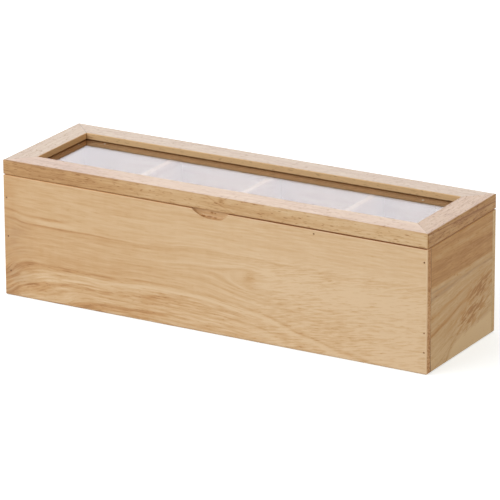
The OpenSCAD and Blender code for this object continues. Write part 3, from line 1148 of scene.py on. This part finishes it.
@dataclass(frozen=True)
class RailFinish(WoodFinish):
    """The finish of the lid's rails: bolder pores, arrises darkened with painted shade, more lacquer on top,
    mitres, and the seam's painted shade and light.
    """

    joints: tuple[Joint, ...] = (MitreJoint(), SeamLine())
    mean_tone: float = 0.62
    # Painted shade darkens the rails' arrises
    arris_tone: float = 0.08
    pore_cover: Fade = Fade(0.11, 0.25)
    top_lacquer: float = 0.8


@dataclass(frozen=True)
class DividerFinish(WoodFinish):
    """The finish of the dividers: sanded and bare."""

    tones: WoodTones = BARE
    roughness: float = 0.6
    top_lacquer: float = 0.3
    side_lacquer: float = 0.0
    top: Fade = Fade(68.0, 70.0)


@dataclass(frozen=True)
class PlywoodFinish:
    """Sanded thin plywood: a plain pale face veneer with open fibres, drawn out along X."""

    name: str
    face: Rgb = (206, 168, 124)
    fibre: Rgb = (176, 132, 90)
    # Share of the fibre's colour, and how far the broad and the fine noise change it
    share: float = 0.4
    broad: Waves = Waves((0.005, 0.05, 0.05), 2.0)
    broad_contrast: float = 0.8
    fine: Waves = Waves((0.04, 1.2, 1.2), 5.0, 3.0)
    fine_contrast: float = 0.9
    roughness: float = 0.6
    roughening: float = 0.2
    relief: float = 0.05

    def material(self) -> bpy.types.Material:
        """The veneer, whose colour and relief follow the noises.

        Returns:
            The material.
        """
        g = NodeGraph.of_material(self.name)
        spot = g.point(*g.place())
        fine = g.noise(spot, self.fine)
        share = g.scaled_sum(self.share, (g.noise(spot, self.broad), self.broad_contrast),
                             (fine, self.fine_contrast))
        return g.finish(Base_Color=g.mix(share, linear(self.face), linear(self.fibre)),
                        Roughness=g.scaled_sum(self.roughness, (fine, self.roughening)),
                        Normal=g.bump(fine, self.relief))


@dataclass(frozen=True)
class PaneFinish:
    """Clear polished pane with a trace of handling on it. Lamps shine through to the compartments."""

    name: str = "clear_pane_glass"
    tint: Rgb = (252, 250, 246)
    # Share of the light that gets through to the compartments, as a screen grey
    passing: Rgb = (215, 212, 207)
    index: float = 1.5
    smears: Waves = Waves((0.03, 0.07, 0.07), 4.0, 4.0)
    smear_roughness: Fade = Fade(0.02, 0.3, 0.0, 0.02)

    def material(self) -> bpy.types.Material:
        """A glass shader to the eye, and an open window to the light that falls on what is inside.

        Returns:
            The material.
        """
        g = NodeGraph.of_material(self.name)
        rough = g.fade(g.noise(g.point(*g.place()), self.smears), self.smear_roughness)
        glass = g.node("ShaderNodeBsdfPrincipled", {"Base Color": linear(self.tint), "Roughness": rough,
                                                    "IOR": self.index, "Transmission Weight": 1.0})
        clear = g.node("ShaderNodeBsdfTransparent", {0: linear(self.passing)})
        rays = g.node("ShaderNodeLightPath", {}).outputs
        lit = g.math("MAXIMUM", rays["Is Shadow Ray"], rays["Is Diffuse Ray"])
        both = g.node("ShaderNodeMixShader", {0: lit, 1: glass.outputs[0], 2: clear.outputs[0]})
        g.node("ShaderNodeOutputMaterial", {0: both.outputs[0]})
        return g.owner


@dataclass(frozen=True)
class MetalFinish:
    """Plated or bare metal: a base colour, tarnish in patches, and fine scratches along X."""

    name: str
    bright: Rgb
    tarnish: Rgb
    roughness: float
    # Depth of the scratches
    relief: float
    patches: Waves = Waves((0.35, 0.35, 0.35), 1.5, 4.0)
    scratches: Waves = Waves((0.3, 6.0, 6.0), 3.5)
    scratch_tarnish: float = 0.3
    cover: Fade = Fade(-0.05, 0.25)
    # How far tarnish and scratches raise the roughness
    roughening: tuple[float, float] = (0.18, 0.2)

    def material(self) -> bpy.types.Material:
        """The metal, duller where it is tarnished or scratched.

        Returns:
            The material.
        """
        g = NodeGraph.of_material(self.name)
        spot = g.point(*g.place())
        lines = g.noise(spot, self.scratches)
        share = g.fade(g.scaled_sum(g.noise(spot, self.patches), (lines, self.scratch_tarnish)), self.cover)
        return g.finish(Base_Color=g.mix(share, linear(self.bright), linear(self.tarnish)), Metallic=1.0,
                        Roughness=g.scaled_sum(self.roughness, *zip((share, lines), self.roughening)),
                        Normal=g.bump(lines, self.relief))


@dataclass(frozen=True)
class GlueFinish:
    """Milky dried glue."""

    name: str = "dried_glue"
    tint: Rgb = (244, 238, 226)
    cloud: Rgb = (226, 214, 190)
    milk: Waves = Waves((2.0, 2.0, 2.0), 1.0, 3.0)
    cover: Fade = Fade(-0.1, 0.2)
    roughness: float = 0.35
    roughening: float = 0.3
    relief: float = 0.02

    def material(self) -> bpy.types.Material:
        """The glue, clouded by a soft noise.

        Returns:
            The material.
        """
        g = NodeGraph.of_material(self.name)
        milk = g.noise(g.point(*g.place()), self.milk)
        return g.finish(Base_Color=g.mix(g.fade(milk, self.cover), linear(self.tint), linear(self.cloud)),
                        Roughness=g.scaled_sum(self.roughness, (milk, self.roughening)),
                        Normal=g.bump(milk, self.relief))


def dress(node: str, material: bpy.types.Material) -> None:
    """Gives a CAD node its finish and reports it.

    Args:
        node: the node's name.
        material: its finish.
    """
    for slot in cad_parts[node].material_slots:
        slot.material = material
    log.info("%s: %s", node, material.name)


# ---- Sub-assemblies

@dataclass
class BoxBody:
    """The open box: four walls, the base let into them, three dividers and the brads."""

    walls: tuple[WallFinish, ...] = (
        WallFinish("front_panel", Grain.ALONG_X, FrontFigure(shift=1.3), seed=2.0, fibre_contrast=0.62,
                   pore_contrast=0.11, end_tone=0.56),
        WallFinish("back_panel", Grain.ALONG_X, Figure(wander=12.0, shift=21.0), seed=23.0, tones=TAN,
                   mean_tone=0.62, layer_contrast=0.55, end_tone=-0.35),
        WallFinish("left_end_panel", Grain.ALONG_Y, Figure(wander=14.0, shift=33.0), seed=35.0, tones=TAN,
                   layer_contrast=0.55),
        WallFinish("right_end_panel", Grain.ALONG_Y, EndFigure(shift=4.4), seed=41.0, tones=TAN,
                   layer_contrast=0.28, fibre_contrast=0.48),
    )
    dividers: tuple[DividerFinish, ...] = (
        DividerFinish("left_divider", Grain.ALONG_Y, Figure(wander=8.0, shift=50.0), seed=60.0),
        DividerFinish("middle_divider", Grain.ALONG_Y, Figure(wander=8.0, shift=59.0), seed=67.0),
        DividerFinish("right_divider", Grain.ALONG_Y, Figure(wander=8.0, shift=68.0), seed=74.0),
    )
    base: PlywoodFinish = PlywoodFinish("base_panel_plywood")
    brads: MetalFinish = MetalFinish("brad_steel_finish", bright=(158, 122, 92), tarnish=(112, 78, 54),
                                     roughness=0.55, relief=0.01)

    def build(self) -> None:
        """Dresses the boards, the base and the brads."""
        for board in (*self.walls, *self.dividers):
            board.apply()
        dress("base_panel", self.base.material())
        steel = self.brads.material()
        for node in ("front_brads", "back_brads"):
            dress(node, steel)


@dataclass
class GlazedLid:
    """The mitred frame and its pane."""

    rails: tuple[RailFinish, ...] = (
        RailFinish("lid_front_rail", Grain.ALONG_X, RailFigure(wander=3.0, shift=71.0), seed=73.0, tones=LID,
                   mean_tone=0.55, pore_contrast=0.425, top_lacquer=0.9, window_painted_light_share=0.6),
        RailFinish("lid_back_rail", Grain.ALONG_X, Figure(wander=4.0, shift=81.0), seed=83.0, tones=LID_FAR,
                   pore_contrast=0.5, top_lacquer=0.85, window_painted_light_share=0.85),
        RailFinish("lid_left_rail", Grain.ALONG_Y, Figure(wander=4.0, shift=91.0), seed=93.0, tones=LID_FAR,
                   pore_contrast=0.3, window_painted_light_share=0.95),
        RailFinish("lid_right_rail", Grain.ALONG_Y, SideRailFigure(wander=4.0, shift=101.0), seed=103.0,
                   tones=LID_RIGHT, mean_tone=0.74, pore_contrast=0.6, pore_cover=Fade(0.10, 0.24),
                   window_painted_light_share=0.6),
    )
    pane: PaneFinish = PaneFinish()

    def build(self) -> None:
        """Dresses the rails and the pane."""
        for rail in self.rails:
            rail.apply()
        dress("window_pane", self.pane.material())


@dataclass
class GlueSpecks:
    """Tiny drops of dried glue on the pane, left from fitting it."""

    name: str = "glue_specks"
    # X, Y and radius of each drop
    places: tuple[Vec, ...] = ((-148.4, 19.0, 0.55), (-133.1, 29.2, 0.6), (124.3, 25.8, 0.8))
    # How far the drops stand off the pane, their height as a share of the radius, and how much of that the
    # flat lower half has
    lift: float = 0.02
    rise: float = 0.4
    flat: float = 0.05
    # How far, and how often round, a drop's outline swells
    swell: float = 0.125
    swells: float = 2.0
    rings: int = 7
    spokes: int = 16
    # Points of a pole lie closer than this, in metres
    merge: float = 1e-7
    finish: GlueFinish = GlueFinish()

    def drop(self, x: float, y: float, radius: float) -> np.ndarray:
        """Points of one drop, a squashed ball whose lower half is nearly flat.

        In words: the ring at the polar angle t has the radius R sin t, times one plus the swell times the
        cosine of twice the angle round the drop. It stands at the height H R cos t over the pane, where H
        is the rise, and a twentieth of that in the lower half.

        Args:
            x: place on the pane.
            y: place on the pane.
            radius: radius of the drop.

        Returns:
            An array of points, ring by ring from pole to pole.
        """
        polar = np.linspace(0.0, np.pi, self.rings)
        around = np.linspace(0.0, 2.0 * np.pi, self.spokes, endpoint=False)
        t, a = np.meshgrid(polar, around, indexing="ij")
        reach = radius * np.sin(t) * (1.0 + self.swell * np.cos(self.swells * a + x))
        height = self.rise * radius * np.cos(t) * np.where(np.cos(t) > 0.0, 1.0, self.flat)
        z = PANE_TOP + self.lift + height
        return np.stack([x + reach * np.cos(a), y + reach * np.sin(a), z], -1)

    def faces(self) -> np.ndarray:
        """Four-cornered faces between the points of one drop: ring by ring, each spoke with the next.

        Returns:
            Rows of four point numbers.
        """
        ring, spoke = np.meshgrid(np.arange(self.rings - 1), np.arange(self.spokes), indexing="ij")
        after = (spoke + 1) % self.spokes
        upper, lower = ring * self.spokes, (ring + 1) * self.spokes
        return np.stack([upper + spoke, lower + spoke, lower + after, upper + after], -1).reshape(-1, 4)

    def build(self) -> None:
        """Makes the drops as one piece that rides the lid."""
        count = self.rings * self.spokes
        points = np.concatenate([self.drop(*place).reshape(-1, 3) for place in self.places])
        faces = np.concatenate([self.faces() + i * count for i in range(len(self.places))])
        mesh = bpy.data.meshes.new(self.name)
        mesh.from_pydata((points * MM).tolist(), [], faces.tolist())
        mesh.polygons.foreach_set("use_smooth", [True] * len(faces))
        work = bmesh.new()
        work.from_mesh(mesh)
        bmesh.ops.remove_doubles(work, verts=work.verts, dist=self.merge)
        work.to_mesh(mesh)
        work.free()
        mesh.materials.append(self.finish.material())
        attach(show(self.name, mesh), "lid")
        log.info("%s: %d drops", self.name, len(self.places))


class Side(Enum):
    """The two ends of the lid's back edge."""

    LEFT = "left"
    RIGHT = "right"


@dataclass
class ButtHinge:
    """One of the two small butt hinges at the back."""

    side: Side
    brass: bpy.types.Material
    parts: tuple[str, ...] = ("box_leaf", "lid_leaf", "pin", "box_screws", "lid_screws")

    def build(self) -> None:
        """Dresses the leaves, the pin and the screws."""
        for part in self.parts:
            dress(f"{self.side.value}_hinge_{part}", self.brass)


# ---- Studio

@dataclass(frozen=True)
class SoftLamp:
    """A rectangular soft lamp that faces the object. Angles are in degrees, and lengths in metres."""

    name: str
    azimuth: float
    elevation: float
    distance: float
    size: tuple[float, float]
    radiance: float
    colour: Rgb

    def build(self) -> None:
        """Places the lamp, turned to the origin. Its power is radiance times pi times its area."""
        turn, lift = np.radians([self.azimuth, self.elevation])
        out = np.array([np.sin(turn) * np.cos(lift), -np.cos(turn) * np.cos(lift), np.sin(lift)])
        side = unit(np.cross([0.0, 0.0, 1.0], out))
        data = bpy.data.lights.new(self.name, "AREA")
        data.shape = "RECTANGLE"
        data.size, data.size_y = self.size
        data.energy = self.radiance * np.pi * self.size[0] * self.size[1]
        data.color = linear(self.colour)[:3]
        place = Matrix.Translation(out * self.distance)
        show(self.name, data).matrix_world = place @ axes_matrix(side, np.cross(out, side), out)
        log.info("%s: radiance %.2f", self.name, self.radiance)


@dataclass
class Studio:
    """A plain pale floor, an even white surround and soft lamps."""

    floor_reach: float = 4.0
    floor_colour: Rgb = (236, 236, 236)
    # Strength and colour of the floor's own light, by which only its shadow shows
    floor_lift: float = 0.60
    floor_lift_colour: Rgb = (236, 248, 255)
    # Strength and colour of the surround's light on the object
    surround: float = 0.47
    surround_colour: Rgb = (255, 244, 228)
    lamps: tuple[SoftLamp, ...] = (
        SoftLamp("front_key", azimuth=-35.0, elevation=32.0, distance=2.2, size=(2.0, 1.6), radiance=2.95,
                 colour=(242, 249, 255)),
        SoftLamp("warm_fill", azimuth=78.0, elevation=18.0, distance=2.4, size=(1.8, 1.6), radiance=0.84,
                 colour=(255, 214, 172)),
        SoftLamp("rear_panel", azimuth=210.0, elevation=24.0, distance=2.4, size=(3.4, 1.3), radiance=1.08,
                 colour=(249, 243, 255)),
    )

    def build_floor(self) -> None:
        """Lays the floor and lifts it to white where it is seen."""
        reach = self.floor_reach
        corners = [(-reach, -reach, 0), (reach, -reach, 0), (reach, reach, 0), (-reach, reach, 0)]
        mesh = bpy.data.meshes.new("floor")
        mesh.from_pydata(corners, [], [(0, 1, 2, 3)])
        g = NodeGraph.of_material("pale_floor")
        g.finish(Base_Color=linear(self.floor_colour), Roughness=1.0, Specular_IOR_Level=0.0,
                 Emission_Color=linear(self.floor_lift_colour),
                 Emission_Strength=g.product(g.seen(), self.floor_lift))
        mesh.materials.append(g.owner)
        show("floor", mesh)
        log.info("floor: %.1f m across", 2 * reach)

    def build_surround(self) -> None:
        """Makes the world white to the eye and a softer light to the object."""
        world = bpy.data.worlds.new("white_surround")
        bpy.context.scene.world = world
        g = NodeGraph(world)
        seen = g.seen()
        tint = g.mix(seen, linear(self.surround_colour), grey(1.0))
        strength = g.node("ShaderNodeMapRange", {0: seen, 3: self.surround, 4: 1.0})
        background = g.node("ShaderNodeBackground", {0: tint, 1: strength.outputs[0]})
        g.node("ShaderNodeOutputWorld", {0: background.outputs[0]})
        log.info("surround: strength %.2f", self.surround)

    def build(self) -> None:
        """Builds the floor, the surround and the lamps, and sets the plain view transform."""
        self.build_floor()
        self.build_surround()
        for lamp in self.lamps:
            lamp.build()
        bpy.context.scene.view_settings.view_transform = "Standard"


@dataclass
class PhotoCamera:
    """The camera at the photograph's viewing angle: right of the front, a little above, from far off. Its
    angles are in degrees, and its lengths in millimetres."""

    yaw: float = 30.06
    pitch: float = 18.79
    roll: float = -0.25
    distance: float = 2963.7
    aim_height: float = 49.4
    aim_right: float = 2.36
    aim_up: float = -2.97
    focal_pixels: float = 4271.0
    image_pixels: float = 500.0
    sensor: float = 36.0
    # How far the camera sees, in metres
    clip: float = 50.0

    def build(self) -> None:
        """Turns the yaw, pitch and roll into the camera's axes and sets it as the scene's camera."""
        yaw, pitch, roll = np.radians([self.yaw, self.pitch, self.roll])
        ahead = np.array([-np.sin(yaw) * np.cos(pitch), np.cos(yaw) * np.cos(pitch), -np.sin(pitch)])
        level = np.array([np.cos(yaw), np.sin(yaw), 0.0])
        above = np.cross(level, ahead)
        right = np.cos(roll) * level + np.sin(roll) * above
        up = np.cos(roll) * above - np.sin(roll) * level
        place = np.array([0.0, 0.0, self.aim_height]) - ahead * self.distance
        place = (place + right * self.aim_right + up * self.aim_up) * MM
        data = bpy.data.cameras.new("photo_camera")
        data.sensor_width = self.sensor
        data.lens = self.sensor * self.focal_pixels / self.image_pixels
        data.clip_end = self.clip
        camera = show("photo_camera", data)
        camera.matrix_world = Matrix.Translation(place) @ axes_matrix(right, up, -ahead)
        bpy.context.scene.camera = camera
        log.info("photo_camera: lens %.1f mm", data.lens)


def main() -> None:
    """Builds the camera, the studio and every sub-assembly in order."""
    logging.basicConfig(level=logging.INFO, format="%(name)s: %(message)s")
    PhotoCamera().build()
    Studio().build()
    BoxBody().build()
    GlazedLid().build()
    GlueSpecks().build()
    brass = MetalFinish("hinge_brass_finish", bright=(222, 180, 108), tarnish=(176, 130, 66), roughness=0.28,
                        relief=0.008).material()
    for side in Side:
        ButtHinge(side, brass).build()


if __name__ == "__main__":
    main()
